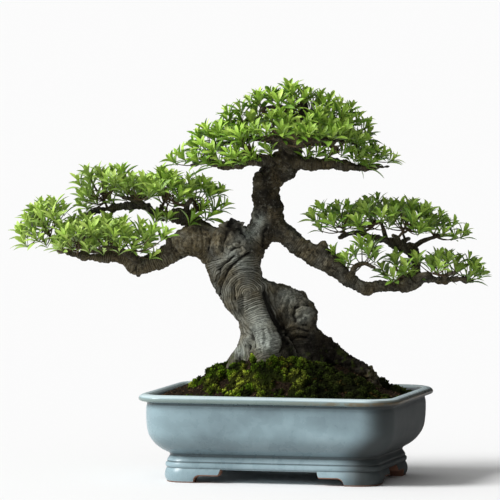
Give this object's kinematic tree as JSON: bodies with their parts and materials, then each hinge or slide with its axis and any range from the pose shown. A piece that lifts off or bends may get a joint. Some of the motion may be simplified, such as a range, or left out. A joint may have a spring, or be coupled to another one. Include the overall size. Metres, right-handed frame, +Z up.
{
  "type": "azalea bonsai in a glazed footed pot",
  "caption": "Broad-leaved bonsai with a thick leaning trunk, long low branches and flat leaf pads, in a mossy soil mound in a glazed rectangular pot.",
  "frame": {"origin": "middle of the bottom of the whole object's box, on the plane that the pot's feet stand on", "axes": "+X along the pot's long side to the right, -Y towards the front that the picture shows, +Z up"},
  "size_m": [0.6158, 0.2774, 0.5355],
  "materials": {
    "glazed_pot": "gloss",
    "screen_mesh": "matte",
    "clip_wire": "satin",
    "drainage_grit": "matte",
    "soil": "matte",
    "moss": "matte",
    "bark": "matte",
    "leaves": "satin"
  },
  "bodies": {
    "root": {"pot": "glazed_pot", "drain_screen_left": "screen_mesh", "drain_screen_right": "screen_mesh", "screen_clip_left": "clip_wire", "screen_clip_right": "clip_wire", "grit": "drainage_grit", "soil": "soil", "moss_left": "moss", "moss_front_left": "moss", "moss_front": "moss", "moss_right": "moss", "moss_back_right": "moss", "moss_back": "moss", "wood": "bark", "crown_spray_1": "leaves", "crown_spray_2": "leaves", "crown_spray_3": "leaves", "crown_spray_4": "leaves", "crown_spray_5": "leaves", "crown_spray_6": "leaves", "crown_spray_7": "leaves", "crown_spray_8": "leaves", "crown_spray_9": "leaves", "crown_spray_10": "leaves", "crown_spray_11": "leaves", "crown_spray_12": "leaves", "crown_spray_13": "leaves", "crown_spray_14": "leaves", "crown_spray_15": "leaves", "crown_spray_16": "leaves", "crown_spray_17": "leaves", "lower_left_spray_1": "leaves", "lower_left_spray_2": "leaves", "lower_left_spray_3": "leaves", "lower_left_spray_4": "leaves", "lower_left_spray_5": "leaves", "lower_left_spray_6": "leaves", "upper_left_spray_1": "leaves", "upper_left_spray_2": "leaves", "upper_left_spray_3": "leaves", "upper_left_spray_4": "leaves", "upper_left_spray_5": "leaves", "upper_left_spray_6": "leaves", "upper_right_spray_1": "leaves", "upper_right_spray_2": "leaves", "upper_right_spray_3": "leaves", "upper_right_spray_4": "leaves", "upper_right_spray_5": "leaves", "upper_right_spray_6": "leaves", "lower_right_spray_1": "leaves", "lower_right_spray_2": "leaves", "lower_right_spray_3": "leaves", "lower_right_spray_4": "leaves", "lower_right_spray_5": "leaves"}
  },
  "joints": []
}
